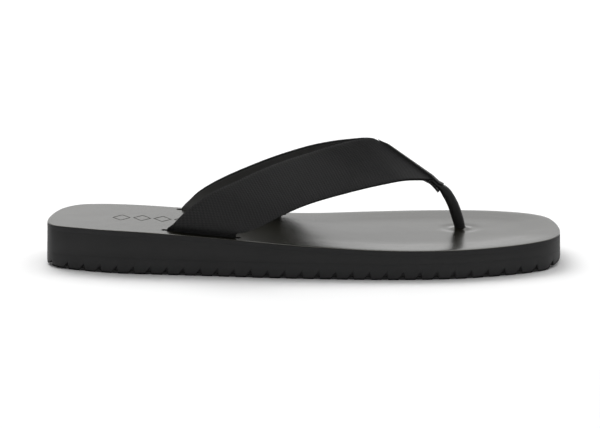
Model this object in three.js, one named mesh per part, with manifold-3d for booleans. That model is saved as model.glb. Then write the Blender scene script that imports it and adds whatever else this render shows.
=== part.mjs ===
// Thong sandal (flip flop) for the right foot, in millimetres.
// +X points to the toe, +Y to the inner (medial) side of the foot, +Z up; the tread stands on Z = 0.
import * as THREE from "three";
import { mergeVertices } from "three/addons/utils/BufferGeometryUtils.js";
import Module from "manifold-3d";

const wasm = await Module();
wasm.setup();

// ---- Driving dimensions ----
const GAP = 0.3; // clearance between neighbouring pieces
const OUTLINE_SAMPLES = 132;
const OUTLINE = [
  // heel, then the outer (lateral) side towards the toe
  [-142.9, -8], [-142.3, -16], [-139.6, -22.6], [-134, -27], [-125, -30.9], [-112, -35.9],
  [-98, -39.4], [-80, -41.7], [-50, -45.5], [-13, -50.4], [25, -53.5], [58, -54.1], [84, -51.5],
  [107, -44.8], [124.5, -36.9], [135.5, -28.6], [141.4, -18.6], [143.6, -5],
  // toe, then the inner (medial) side back to the heel
  [143.5, 7], [142.4, 17.6], [139.2, 30], [132.4, 39.2], [121, 46.8], [103, 53], [80, 54.6],
  [56, 52.4], [33, 47], [10, 38.5], [-12, 33.4], [-40, 29.9], [-71, 29.9], [-96, 32], [-116, 33.8],
  [-128.5, 31.6], [-136.2, 23.4], [-140.2, 12.5], [-142, 2.5],
];
// Height of the footbed along the sole: raised heel, flat forefoot.
const FOOTBED = [
  [-150, 23.9], [-100, 23.8], [-90, 23.5], [-82, 23.15], [-30, 20.1], [-14, 19], [0, 18.1],
  [14, 17.4], [28, 16.7], [42, 16.2], [58, 15.9], [80, 15.8], [104, 16], [122, 16.4], [150, 17.2],
];
const OUTSOLE_TOP = 8;
// Both ends of the sole lift off the floor: where the bevel starts, and its slope from there.
const HEEL_BEVEL = { start: -124, slope: 0.06 };
const TOE_BEVEL = { start: 134, slope: 0.3 };
const WALL_SPREAD = 0.8; // how much wider each side of the sole is at the floor than at the footbed

const TREAD = { count: 31, first: -142.4, pitch: 9.24, width: 3.6, depth: 3.4, apex: 2.9 };

// Depths below the footbed surface.
const LEATHER = 1.2;
// The forefoot is dished: [distance in from the rim, depth] at full dish.
const DISH = [[3, 0], [13, 0.35], [24, 0.7]];
const DISH_FROM = -20; // the dish starts here and is full at DISH_FULL
const DISH_FULL = 50;
const WRAP_DEPTH = 3; // the leather turns down over the rim of the cushion
const CUSHION_BOTTOM = 3;
const BOARD_TOP = 3.3;
const BOARD_BOTTOM = 4.5;
const BOARD_INSET = 4;
const POCKET_FLOOR = 7.1;

const WEBBING = 1.5;
const LINING = 0.8;
const SLIT_WIDTH = 3.8;
const SLIT_OVERRUN = 3; // slit length past each edge of the strap
const TAB_LENGTH = 12;

const RIDGE_Y = 9; // plane where the two straps meet, over the gap after the big toe
const RIDGE_TOP = [43, RIDGE_Y, 65.2];
const RIDGE_TIP = [73.6, RIDGE_Y, 43.6];

// Edges of the outer face of each strap, from the slit to the ridge.
const LATERAL = {
  out: -1,
  back: [
    [-75.6, -33.8], [-74.4, -34.5, 23.9], [-72, -35.7, 26.4], [-67, -36.9, 32], [-60, -37, 38.2],
    [-50, -35.3, 44.7], [-38, -31.5, 49.7], [-25, -26, 54.9], [-10, -18.5, 59.5], [5, -10.5, 62.8],
    [18, -4, 65.6], [28, 1.5, 67.1], [35, 5.4, 67.4], [39.8, 7.6, 66.8], RIDGE_TOP,
  ],
  front: [
    [-37.5, -42], [-37, -42.3, 22], [-33, -44, 23.6], [-27, -45.4, 26], [-20, -45.5, 29.5],
    [-10, -43.8, 34.7], [0, -40.5, 38.6], [10, -36.5, 41.3], [22, -30.5, 43.5], [35, -23, 45.3],
    [47, -15, 46.3], [57, -7.5, 46.5], [65, -0.5, 45.4], [70, 4.8, 44.2], RIDGE_TIP,
  ],
};
const MEDIAL = {
  out: 1,
  back: [
    [-69.7, 25.6], [-68.6, 26.4, 23.8], [-66, 28, 26.4], [-61, 29.6, 31.2], [-54, 30, 36],
    [-44, 29.5, 41.4], [-32, 28, 47], [-20, 26, 52.2], [-8, 23.5, 56.8], [5, 20, 61.2],
    [18, 16, 64.4], [28, 12.8, 66.1], [35, 10.9, 66.9], [39.6, 9.9, 66.6], RIDGE_TOP,
  ],
  front: [
    [-13, 29.4], [-12.3, 30, 20.4], [-10, 31.4, 21.1], [-6.5, 33.2, 22.4], [-2, 34.8, 24.6],
    [5, 35.9, 29.2], [12, 35.6, 33.6], [20, 34, 37.4], [32, 30.4, 41.4], [45, 25, 44.2],
    [57, 18.8, 45.8], [65, 14, 45.4],
    [70, 11.2, 44.4], RIDGE_TIP,
  ],
};

// Toe post: centre line in the ridge plane [x, z] and half sizes across (y) and in the plane.
const POST = [
  { at: [73.1, 42.3], across: 3, deep: 1.05 },
  { at: [75.25, 40.3], across: 3, deep: 1.3 },
  { at: [77.3, 38.6], across: 2.9, deep: 1.75 },
  { at: [79, 37], across: 2.8, deep: 2.25 },
  { at: [80.5, 35.1], across: 2.8, deep: 2.6 },
  { at: [82.6, 31.6], across: 2.8, deep: 2.75 },
  { at: [84.3, 28.1], across: 2.85, deep: 2.85 },
  { at: [85.6, 24.6], across: 2.9, deep: 2.95 },
  { at: [86.8, 21], across: 2.9, deep: 2.95 },
  { at: [87.8, 17.7], across: 2.9, deep: 2.9 },
  { at: [88.4, 15.2], across: 2.9, deep: 2.9 },
  { at: [88.6, 13], across: 2.9, deep: 2.9 },
  { at: [88.6, 11.4], across: 2.9, deep: 2.9 },
];
const POST_X = 88.6;

// Leather strip folded over the seam of the straps; its end feathers out on the post.
const OVERLAY = { half: [1.5, 2], thick: 0.9, tipThick: 0.45, rows: 10 };
// Leather tab under the tip of the V: [x, z] of its lower face in the ridge plane.
const BACKING = [
  { low: [66.5, 42.9], thick: 0.6, half: 1.2 },
  { low: [68.5, 42], thick: 0.9, half: 1.6 },
  { low: [71.2, 40.6], thick: 1.2, half: 2.1 },
  { low: [73.35, 38.5], thick: 1.1, half: 2.6 },
  { low: [74.7, 36.9], thick: 1.1, half: 2.8 },
  { low: [75.5, 35.9], thick: 1.1, half: 2.8 },
];
const POST_HOLE_RADIUS = 3.5;
const CORE_RADIUS = 1.5;
const CORE_TOP = 32;
const ANCHOR = { radius: 8, top: 10.9, bottom: 9.7 };

const vec = (p) => new THREE.Vector3(p[0], p[1], p[2]);

// ---- Solids ----
function solidOf(geometry) {
  const bare = new THREE.BufferGeometry();
  bare.setAttribute("position", geometry.getAttribute("position"));
  if (geometry.index) bare.setIndex(geometry.index);
  const merged = mergeVertices(bare, 1e-5);
  return new wasm.Manifold(
    new wasm.Mesh({
      numProp: 3,
      vertProperties: new Float32Array(merged.getAttribute("position").array),
      triVerts: new Uint32Array(merged.index.array),
    }),
  );
}

function geometryOf(solid) {
  const mesh = solid.getMesh();
  const geometry = new THREE.BufferGeometry();
  geometry.setAttribute("position", new THREE.BufferAttribute(new Float32Array(mesh.vertProperties), 3));
  geometry.setIndex(new THREE.BufferAttribute(new Uint32Array(mesh.triVerts), 1));
  geometry.computeVertexNormals();
  return geometry;
}

// A closed skin over rings of equal point counts, with flat fans at both ends.
function loft(rings) {
  const count = rings[0].length;
  const positions = rings.flat().flatMap((p) => [p.x, p.y, p.z]);
  const index = [];
  for (let r = 0; r + 1 < rings.length; r++) {
    for (let i = 0; i < count; i++) {
      const a = r * count + i;
      const b = r * count + ((i + 1) % count);
      index.push(a, b, b + count, a, b + count, a + count);
    }
  }
  const last = (rings.length - 1) * count;
  for (let i = 1; i + 1 < count; i++) {
    index.push(0, i + 1, i, last, last + i, last + i + 1);
  }
  const geometry = new THREE.BufferGeometry();
  geometry.setAttribute("position", new THREE.Float32BufferAttribute(positions, 3));
  geometry.setIndex(index);
  const solid = solidOf(geometry);
  return solid.volume() < 0 ? solidOf(flipped(geometry)) : solid;
}

function flipped(geometry) {
  const index = Array.from(geometry.index.array);
  for (let i = 0; i < index.length; i += 3) {
    [index[i], index[i + 1]] = [index[i + 1], index[i]];
  }
  const turned = geometry.clone();
  turned.setIndex(index);
  return turned;
}

// ---- Sole ----
const outlineCurve = new THREE.CatmullRomCurve3(
  OUTLINE.map(([x, y]) => new THREE.Vector3(x, y, 0)), true, "centripetal",
);

function outline(inset) {
  const points = [];
  for (let i = 0; i < OUTLINE_SAMPLES; i++) {
    const t = i / OUTLINE_SAMPLES;
    const p = outlineCurve.getPointAt(t);
    const along = outlineCurve.getTangentAt(t);
    points.push(new THREE.Vector3(p.x - along.y * inset, p.y + along.x * inset, 0));
  }
  return points;
}

function footbedZ(x) {
  let i = 1;
  while (i < FOOTBED.length - 1 && FOOTBED[i][0] < x) i++;
  const [x0, z0] = FOOTBED[i - 1];
  const [x1, z1] = FOOTBED[i];
  return z0 + ((z1 - z0) * (x - x0)) / (x1 - x0);
}

// Walls along the outline, leaning outward from the footbed to the floor.
function walls(inset) {
  const low = outline(inset - WALL_SPREAD).map((p) => new THREE.Vector3(p.x, p.y, -5));
  const high = outline(inset).map((p) => new THREE.Vector3(p.x, p.y, 25));
  return loft([low, high]);
}

// Everything between two heights that follow the side view of the sole.
function between(low, high, xs = FOOTBED.map(([x]) => x)) {
  const shape = new THREE.Shape();
  xs.forEach((x, i) => (i ? shape.lineTo(x, low(x)) : shape.moveTo(x, low(x))));
  [...xs].reverse().forEach((x) => shape.lineTo(x, high(x)));
  shape.closePath();
  const slab = new THREE.ExtrudeGeometry(shape, { depth: 160, bevelEnabled: false });
  slab.rotateX(Math.PI / 2);
  slab.translate(0, 80, 0);
  return solidOf(slab);
}

const below = (depth) => (x) => footbedZ(x) - depth;

// What lies above the dished footbed surface, lowered by a depth.
function dishAbove(depth) {
  const sink = 0.002; // keeps the cut's rim just under the surface that it meets
  const lidHeight = 2;
  const rings = DISH.map(([inset, dip]) =>
    outline(inset).map((p) => {
      const share = THREE.MathUtils.smoothstep(p.x, DISH_FROM, DISH_FULL);
      return new THREE.Vector3(p.x, p.y, footbedZ(p.x) - depth - dip * share - sink);
    }),
  );
  const lid = outline(DISH[0][0]).map((p) => new THREE.Vector3(p.x, p.y, footbedZ(p.x) + lidHeight));
  return loft([lid, ...rings]);
}

function prism(points, z0, z1) {
  const shape = new THREE.Shape(points.map((p) => new THREE.Vector2(p.x, p.y)));
  const block = new THREE.ExtrudeGeometry(shape, { depth: z1 - z0, bevelEnabled: false });
  block.translate(0, 0, z0);
  return solidOf(block);
}

function disc(x, y, radius, z0, z1) {
  const points = Array.from({ length: 28 }, (_, i) => {
    const a = (i / 28) * Math.PI * 2;
    return new THREE.Vector3(x + radius * Math.cos(a), y + radius * Math.sin(a), 0);
  });
  return prism(points, z0, z1);
}

// A strip in plan, from one point to another, between two distances from the line.
function strip(from, to, near, far, overrun) {
  const along = to.clone().sub(from).setZ(0).normalize();
  const aside = new THREE.Vector3(-along.y, along.x, 0);
  const a = from.clone().addScaledVector(along, -overrun);
  const b = to.clone().addScaledVector(along, overrun);
  return [
    a.clone().addScaledVector(aside, near), b.clone().addScaledVector(aside, near),
    b.clone().addScaledVector(aside, far), a.clone().addScaledVector(aside, far),
  ];
}

function slitPlan(strap) {
  const [from, to] = [strap.back[0], strap.front[0]].map(([x, y]) => new THREE.Vector3(x, y, 0));
  const inward = -strap.out;
  const slack = (SLIT_WIDTH - WEBBING - GAP - LINING) / 2;
  return strip(from, to, -inward * slack, inward * (SLIT_WIDTH - slack), SLIT_OVERRUN);
}

function tabPlan(strap) {
  const [from, to] = [strap.back[0], strap.front[0]].map(([x, y]) => new THREE.Vector3(x, y, 0));
  const inward = -strap.out;
  return strip(from, to, -inward * 0.8, inward * (TAB_LENGTH + 1), 1);
}

const slits = [LATERAL, MEDIAL].map((strap) => prism(slitPlan(strap), 0, 40));
const pockets = [LATERAL, MEDIAL].map((strap) =>
  prism(tabPlan(strap), 0, 40).intersect(between(below(POCKET_FLOOR), () => 40)),
);
const postHole = disc(POST_X, RIDGE_Y, POST_HOLE_RADIUS, 0, 40);

function pierced(solid) {
  return solid.subtract(slits[0]).subtract(slits[1]).subtract(postHole);
}

const soleRise = (x) =>
  Math.max(0, (HEEL_BEVEL.start - x) * HEEL_BEVEL.slope, (x - TOE_BEVEL.start) * TOE_BEVEL.slope);

function treadGroove(i) {
  const x = TREAD.first + i * TREAD.pitch;
  const rise = soleRise(x);
  const shape = new THREE.Shape();
  shape.moveTo(x - 1.4, -1.6 + rise * 0.5);
  shape.lineTo(x + TREAD.width + 0.2, -1.6);
  shape.lineTo(x + TREAD.width, 0);
  shape.lineTo(x + TREAD.apex, TREAD.depth + rise * 0.4);
  shape.closePath();
  const cut = new THREE.ExtrudeGeometry(shape, { depth: 160, bevelEnabled: false });
  cut.rotateX(Math.PI / 2);
  cut.translate(0, 80, 0);
  return solidOf(cut);
}

function outsole() {
  const stations = [-150, HEEL_BEVEL.start, TOE_BEVEL.start, 150];
  let solid = walls(0).intersect(between(soleRise, () => OUTSOLE_TOP, stations));
  for (let i = 0; i < TREAD.count; i++) {
    solid = solid.subtract(treadGroove(i));
  }
  return solid;
}

function midsole() {
  const recess = walls(BOARD_INSET - GAP).intersect(between(below(BOARD_BOTTOM + GAP), () => 40));
  const post = disc(POST_X, RIDGE_Y, ANCHOR.radius + GAP, ANCHOR.bottom - GAP, 40);
  return walls(0.15)
    .intersect(between(() => OUTSOLE_TOP + GAP, below(WRAP_DEPTH + GAP)))
    .subtract(recess)
    .subtract(pockets[0])
    .subtract(pockets[1])
    .subtract(post);
}

const insoleBoard = () => pierced(walls(BOARD_INSET).intersect(between(below(BOARD_BOTTOM), below(BOARD_TOP))));

const footbedCushion = () =>
  pierced(
    walls(LEATHER + GAP)
      .intersect(between(below(CUSHION_BOTTOM), below(LEATHER + GAP)))
      .subtract(dishAbove(LEATHER + GAP)),
  );

function footbedLeather() {
  const tray = walls(LEATHER).intersect(between(() => 0, below(LEATHER))).subtract(dishAbove(LEATHER));
  return pierced(
    walls(0).intersect(between(below(WRAP_DEPTH), below(0))).subtract(dishAbove(0)).subtract(tray),
  );
}

// ---- Straps ----
// One edge of a strap: folded tab under the board, straight through the slit, then up to the ridge.
function strapEdge(points, inwardDir) {
  const [x, y] = points[0];
  const top = footbedZ(x);
  const faceLow = BOARD_BOTTOM + GAP + 0.1 + WEBBING; // depth of the outer face of the folded tab
  const bend = WEBBING + 0.5;
  const edge = [];
  const place = (inward, depth) =>
    edge.push(new THREE.Vector3(x + inwardDir.x * inward, y + inwardDir.y * inward, top - depth));
  place(TAB_LENGTH, faceLow);
  place(TAB_LENGTH * 0.55, faceLow);
  for (let i = 0; i <= 4; i++) {
    const a = (i / 4) * (Math.PI / 2);
    place(bend - bend * Math.sin(a), faceLow - bend + bend * Math.cos(a));
  }
  place(0, 2.8);
  const curve = new THREE.CatmullRomCurve3(
    [new THREE.Vector3(x, y, top + 0.2), ...points.slice(1).map(vec)], false, "centripetal",
  );
  curve.arcLengthDivisions = 800;
  const steps = 40;
  for (let i = 0; i <= steps; i++) {
    edge.push(curve.getPointAt(Math.pow(i / steps, 1.15)));
  }
  const end = edge.at(-1).clone();
  const run = end.clone().sub(edge.at(-2)).normalize();
  edge.push(end.addScaledVector(run, 5));
  return edge;
}

function strapSurface(strap) {
  const along = new THREE.Vector3(
    strap.front[0][0] - strap.back[0][0], strap.front[0][1] - strap.back[0][1], 0,
  ).normalize();
  const inward = new THREE.Vector3(-along.y, along.x, 0).multiplyScalar(-strap.out);
  const back = strapEdge(strap.back, inward);
  const front = strapEdge(strap.front, inward);
  const row = (edge, i) => {
    const k = Math.min(Math.floor(i), edge.length - 2);
    return edge[k].clone().lerp(edge[k + 1], i - k);
  };
  const at = (i, v) => row(back, i).lerp(row(front, i), v);
  const normal = (i, v) => {
    const a = at(Math.max(i - 1, 0), v);
    const b = at(Math.min(i + 1, back.length - 1), v);
    const n = b.sub(a).cross(row(front, i).sub(row(back, i))).normalize();
    return n.multiplyScalar(strap.out);
  };
  const offset = (i, v, distance) => at(i, v).addScaledVector(normal(i, v), distance);
  return { at, normal, offset, count: back.length };
}

// A layer of a strap between two offsets from its outer face, cut at the ridge plane.
function strapLayer(strap, surface, outer, inner, firstRow, v0, v1) {
  const across = 6;
  const rings = [];
  for (let i = firstRow; i < surface.count; i++) {
    const ring = [];
    for (let j = 0; j <= across; j++) ring.push(surface.offset(i, v0 + ((v1 - v0) * j) / across, outer));
    for (let j = across; j >= 0; j--) ring.push(surface.offset(i, v0 + ((v1 - v0) * j) / across, inner));
    rings.push(ring);
  }
  const side = strap.out < 0
    ? strip(vec([-200, RIDGE_Y - GAP / 2, 0]), vec([200, RIDGE_Y - GAP / 2, 0]), -100, 0, 0)
    : strip(vec([-200, RIDGE_Y + GAP / 2, 0]), vec([200, RIDGE_Y + GAP / 2, 0]), 0, 100, 0);
  return loft(rings).intersect(prism(side, -10, 120));
}

const surfaces = { lateral: strapSurface(LATERAL), medial: strapSurface(MEDIAL) };
const SLIT_ROW = 7; // first strap row above the folded tab

const webbing = (strap, surface) => strapLayer(strap, surface, 0, -WEBBING, 0, 0, 1);

function lining(strap, surface) {
  return strapLayer(strap, surface, -WEBBING - GAP, -WEBBING - GAP - LINING, SLIT_ROW, 0.012, 0.86);
}

// ---- Ridge and toe post ----
const inPlane = (x, z) => new THREE.Vector3(x, RIDGE_Y, z);

function postRings(radiusAcross, radiusDeep, count) {
  const axis = new THREE.CatmullRomCurve3(POST.map(({ at }) => inPlane(at[0], at[1])), false, "centripetal");
  const rings = [];
  for (let i = 0; i < POST.length; i++) {
    const t = i / (POST.length - 1);
    const centre = axis.getPoint(t);
    const run = axis.getTangent(t);
    const out = new THREE.Vector3(-run.z, 0, run.x);
    const ring = [];
    for (let k = 0; k < count; k++) {
      const a = (k / count) * Math.PI * 2;
      ring.push(
        centre.clone()
          .addScaledVector(new THREE.Vector3(0, 1, 0), radiusAcross(i) * Math.cos(a))
          .addScaledVector(out, radiusDeep(i) * Math.sin(a)),
      );
    }
    rings.push(ring);
  }
  return rings;
}

function postSleeve() {
  const skin = loft(postRings((i) => POST[i].across, (i) => POST[i].deep, 20));
  const bore = loft(postRings(() => CORE_RADIUS + GAP, () => CORE_RADIUS + GAP, 14).slice(4));
  return skin.subtract(bore).subtract(disc(POST_X, RIDGE_Y, CORE_RADIUS + GAP, 5, 11.6));
}

function postCore() {
  const rings = postRings(() => CORE_RADIUS, () => CORE_RADIUS, 12).slice(4);
  const limit = prism(strip(inPlane(60, 0), inPlane(110, 0), -20, 20, 0), ANCHOR.bottom + 0.1, CORE_TOP);
  const stub = disc(POST_X, RIDGE_Y, CORE_RADIUS, ANCHOR.bottom, 12.2);
  return loft(rings).intersect(limit).add(stub);
}

function postAnchor() {
  return disc(POST_X, RIDGE_Y, ANCHOR.radius, ANCHOR.bottom, ANCHOR.top)
    .subtract(disc(POST_X, RIDGE_Y, CORE_RADIUS + GAP, 0, 40));
}

// Under or upper face of the overlay across the ridge, at a distance above the straps.
function overlayFace(v, half, distance) {
  const points = [];
  const crestRow = surfaces.lateral.count - 2;
  const rowStep = surfaces.lateral.at(crestRow, v).distanceTo(surfaces.lateral.at(crestRow - 1, v));
  const medialStep = surfaces.medial.at(crestRow, v).distanceTo(surfaces.medial.at(crestRow - 1, v));
  for (const k of [1, 0.66, 0.33]) {
    points.push(surfaces.lateral.offset(crestRow - (half * k) / rowStep, v, distance));
  }
  const [nl, nm] = [surfaces.lateral, surfaces.medial].map((s) => s.normal(crestRow - 0.5, v));
  const bisector = nl.clone().add(nm).normalize();
  points.push(surfaces.lateral.at(crestRow, v).addScaledVector(bisector, distance / bisector.dot(nl)));
  for (const k of [0.33, 0.66, 1]) {
    points.push(surfaces.medial.offset(crestRow - (half * k) / medialStep, v, distance));
  }
  return points;
}

// The overlay's end on the post, between two angles either side of the ridge plane.
function overlayOnPost(index, distance, spread) {
  const { at, across, deep } = POST[index];
  const [x0, z0] = POST[index - 1].at;
  const [x1, z1] = POST[index + 1].at;
  const out = new THREE.Vector3(-(z1 - z0), 0, x1 - x0).normalize();
  const centre = inPlane(at[0], at[1]);
  return [1, 0.66, 0.33, 0, -0.33, -0.66, -1].map((k) => {
    const a = THREE.MathUtils.degToRad(90 + k * spread);
    return centre.clone()
      .addScaledVector(new THREE.Vector3(0, 1, 0), (across + distance) * Math.cos(a))
      .addScaledVector(out, (deep + distance) * Math.sin(a));
  });
}

function ridgeOverlay() {
  const rings = [];
  for (let j = 0; j <= OVERLAY.rows; j++) {
    const v = 0.03 + (0.93 * j) / OVERLAY.rows;
    const half = THREE.MathUtils.lerp(OVERLAY.half[0], OVERLAY.half[1], v);
    const low = GAP + 0.15;
    rings.push([...overlayFace(v, half, low), ...overlayFace(v, half, low + OVERLAY.thick).reverse()]);
  }
  for (const [index, thick, spread] of [[1, 0.75, 48], [2, OVERLAY.tipThick, 40]]) {
    const high = overlayOnPost(index, GAP + thick, spread);
    rings.push([...overlayOnPost(index, GAP, spread), ...high.reverse()]);
  }
  return loft(rings);
}

function junctionBacking() {
  const rings = BACKING.map(({ low, thick, half }, i) => {
    const [x0, z0] = BACKING[Math.max(i - 1, 0)].low;
    const [x1, z1] = BACKING[Math.min(i + 1, BACKING.length - 1)].low;
    const out = new THREE.Vector3(-(z1 - z0), 0, x1 - x0).normalize();
    const lower = inPlane(low[0], low[1]);
    const upper = lower.clone().addScaledVector(out, thick);
    const aside = new THREE.Vector3(0, half, 0);
    return [
      upper.clone().sub(aside), upper.clone().add(aside), lower.clone().add(aside), lower.clone().sub(aside),
    ];
  });
  return loft(rings);
}

const parts = [
  ["outsole", outsole(), 0x1d1d1f],
  ["midsole", midsole(), 0x242426],
  ["insole_board", insoleBoard(), 0x6b5a48],
  ["footbed_cushion", footbedCushion(), 0x3a3a3c],
  ["footbed_leather", footbedLeather(), 0x1a1a1c],
  ["strap_webbing_lateral", webbing(LATERAL, surfaces.lateral), 0x2a2a2c],
  ["strap_webbing_medial", webbing(MEDIAL, surfaces.medial), 0x2a2a2c],
  ["strap_lining_lateral", lining(LATERAL, surfaces.lateral), 0x161617],
  ["strap_lining_medial", lining(MEDIAL, surfaces.medial), 0x161617],
  ["ridge_overlay", ridgeOverlay(), 0x202022],
  ["junction_backing", junctionBacking(), 0x141416],
  ["toe_post_sleeve", postSleeve(), 0x18181a],
  ["toe_post_core", postCore(), 0x3f3f42],
  ["toe_post_anchor", postAnchor(), 0x2f2f31],
];

const group = new THREE.Group();
for (const [name, solid, color] of parts) {
  const mesh = new THREE.Mesh(geometryOf(solid), new THREE.MeshStandardMaterial({ color, roughness: 0.7 }));
  mesh.name = name;
  group.add(mesh);
}

export default group;
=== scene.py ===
"""Finished looks of a right-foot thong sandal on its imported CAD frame.

Shapes are worked out in millimetres in the row frame (+X toe, +Y inner side, +Z up) and stored in metres.
"""
import math

import bmesh
import bpy
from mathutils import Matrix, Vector
from mathutils.kdtree import KDTree


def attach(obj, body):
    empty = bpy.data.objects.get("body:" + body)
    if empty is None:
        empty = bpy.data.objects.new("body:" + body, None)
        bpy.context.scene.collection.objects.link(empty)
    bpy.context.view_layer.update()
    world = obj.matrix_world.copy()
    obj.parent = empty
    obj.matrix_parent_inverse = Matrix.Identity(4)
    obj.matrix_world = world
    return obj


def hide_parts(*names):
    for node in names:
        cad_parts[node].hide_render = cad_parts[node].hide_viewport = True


MM = 0.001
GAP = 0.3  # kept between two solids of the CAD

# Sole outline in plan, heel to toe along the outer side and back along the inner side.
OUTLINE = [
    (-142.9, -8), (-142.3, -16), (-139.6, -22.6), (-134, -27), (-125, -30.9), (-112, -35.9),
    (-98, -39.4), (-80, -41.7), (-50, -45.5), (-13, -50.4), (25, -53.5), (58, -54.1), (84, -51.5),
    (107, -44.8), (124.5, -36.9), (135.5, -28.6), (141.4, -18.6), (143.6, -5),
    (143.5, 7), (142.4, 17.6), (139.2, 30), (132.4, 39.2), (121, 46.8), (103, 53), (80, 54.6),
    (56, 52.4), (33, 47), (10, 38.5), (-12, 33.4), (-40, 29.9), (-71, 29.9), (-96, 32), (-116, 33.8),
    (-128.5, 31.6), (-136.2, 23.4), (-140.2, 12.5), (-142, 2.5),
]
# Height of the footbed's surface along its length: (x, z).
FOOTBED = [
    (-150, 23.9), (-100, 23.8), (-90, 23.5), (-82, 23.15), (-30, 20.1), (-14, 19), (0, 18.1),
    (14, 17.4), (28, 16.7), (42, 16.2), (58, 15.9), (80, 15.8), (104, 16), (122, 16.4), (150, 17.2),
]
OUTSOLE_TOP = 8
SEAM = 0.145  # each glued face moves this far into the gap
CHAMFER = 0.06
WALL_SOFT = 1.2  # rounding along the lower edge of the wall
# Both ends of the sole lift off the floor: (start, slope).
HEEL_BEVEL = (-124, 0.06)
TOE_BEVEL = (134, 0.3)
# The wall spreads by this much from its high level down to its low one.
WALL_SPREAD = 0.8
WALL_LOW, WALL_HIGH = -5, 25
TREAD_COUNT, TREAD_FIRST, TREAD_PITCH = 31, -142.4, 9.24
TREAD_WIDTH, TREAD_DEPTH, TREAD_APEX = 3.6, 3.4, 2.9
# A band of rubber closes each tread groove near its end, apart from those at heel and toe, and its
# outer face rises as a lip close behind the wall.
BAND_OUTER, BAND_INNER, BAND_HEIGHT, BAND_END = 1.25, 4, 0.3, 132
LIP_FOOT, LIP_INSET, LIP_HEIGHT = 0.5, 0.15, 1.1

LEATHER = 1.2
WRAP_DEPTH = 3  # how far the leather is turned down over the wall
RIM_RADIUS = 0.5
BOARD_INSET, BOARD_BOTTOM = 4, 4.5  # in from the wall, and below the footbed
ANCHOR_RADIUS, ANCHOR_BOTTOM = 8, 9.7
RECESS_HIGH = 30
SOLE_COLUMNS, RECESS_COLUMNS, ACROSS_FOOTBED = 150, 90, 72
# Dish of the forefoot: (distance in from the rim, depth) where it is full.
DISH = [(0, 0), (3, 0), (13, 0.35), (24, 0.7)]
DISH_FROM, DISH_FULL = -20, 50
# A row of plain diamond grooves on the heel of the footbed.
DIAMOND_COUNT, DIAMOND_FIRST, DIAMOND_PITCH = 4, -102, 11.5
DIAMOND_Y, DIAMOND_HALF, GROOVE_RADIUS = -4, (4.8, 7), 0.5

WEBBING, LINING = 1.5, 0.8
LINING_START, LINING_SHARE = 0.006, 0.854  # where the lining starts across the webbing, and its share
LINING_ROWS, ACROSS_LINING = 90, 16
SLIT_WIDTH, SLIT_OVERRUN, SLIT_ROUNDING = 3.8, 3, 1.2
# Places along and across a strap run from 0 to 1: u from slit to tip, v from back edge to front edge.
RIB_PITCH, RIB_HEIGHT = 1.12, 0.34
RIB_FULLNESS = 0.7  # below 1, the crowns are broad and the grooves narrow
RIB_LOSS = 0.92  # share of the relief that is lost at the tip
ROWS_PER_RIB, ACROSS_WEBBING, SHORTEST_ROW = 6, 24, 0.004
ROW_SLANT = -0.4  # change of u from the back edge to the front edge along one rib
RIB_FADE, FADE_LEAN = (0.9, 0.98), 0.12  # the ribs die out under the finish of the tip
EDGE_SHARE, EDGE_DROP = 0.012, 0.3
TUCK, TUCK_DEPTH = (0.03, 0.072), 0.95  # the strap draws in as it enters its slit

RIDGE_Y = 9
RIDGE_TOP = (43, RIDGE_Y, 65.2)
RIDGE_TIP = (73.6, RIDGE_Y, 43.6)
LATERAL = {
    "out": -1,
    "back": [
        (-75.6, -33.8), (-74.4, -34.5, 23.9), (-72, -35.7, 26.4), (-67, -36.9, 32), (-60, -37, 38.2),
        (-50, -35.3, 44.7), (-38, -31.5, 49.7), (-25, -26, 54.9), (-10, -18.5, 59.5), (5, -10.5, 62.8),
        (18, -4, 65.6), (28, 1.5, 67.1), (35, 5.4, 67.4), (39.8, 7.6, 66.8), RIDGE_TOP,
    ],
    "front": [
        (-37.5, -42), (-37, -42.3, 22), (-33, -44, 23.6), (-27, -45.4, 26), (-20, -45.5, 29.5),
        (-10, -43.8, 34.7), (0, -40.5, 38.6), (10, -36.5, 41.3), (22, -30.5, 43.5), (35, -23, 45.3),
        (47, -15, 46.3), (57, -7.5, 46.5), (65, -0.5, 45.4), (70, 4.8, 44.2), RIDGE_TIP,
    ],
}
MEDIAL = {
    "out": 1,
    "back": [
        (-69.7, 25.6), (-68.6, 26.4, 23.8), (-66, 28, 26.4), (-61, 29.6, 31.2), (-54, 30, 36),
        (-44, 29.5, 41.4), (-32, 28, 47), (-20, 26, 52.2), (-8, 23.5, 56.8), (5, 20, 61.2),
        (18, 16, 64.4), (28, 12.8, 66.1), (35, 10.9, 66.9), (39.6, 9.9, 66.6), RIDGE_TOP,
    ],
    "front": [
        (-13, 29.4), (-12.3, 30, 20.4), (-10, 31.4, 21.1), (-6.5, 33.2, 22.4), (-2, 34.8, 24.6),
        (5, 35.9, 29.2), (12, 35.6, 33.6), (20, 34, 37.4), (32, 30.4, 41.4), (45, 25, 44.2),
        (57, 18.8, 45.8), (65, 14, 45.4), (70, 11.2, 44.4), RIDGE_TIP,
    ],
}

# Toe post stations: centre x and z in the ridge plane, half size across, half size in the plane.
POST = [
    (71.5, 42.75, 2.6, 0.55), (73.1, 42.3, 3, 1.05), (75.25, 40.3, 3, 1.3), (77.5, 38.75, 2.9, 1.95),
    (79.25, 37.15, 2.8, 2.5), (80.8, 35.2, 2.8, 2.87), (82.9, 31.7, 2.8, 3), (84.6, 28.2, 2.85, 3.1),
    (85.9, 24.6, 2.9, 3.2), (87.05, 21, 2.9, 3.2), (88, 17.7, 2.9, 3.1), (88.5, 15.2, 2.9, 3),
    (88.6, 13, 2.9, 2.9), (88.6, 11.4, 2.9, 2.9),
]
POST_X = 88.6
POST_HOLE_RADIUS = 3.5
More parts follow.
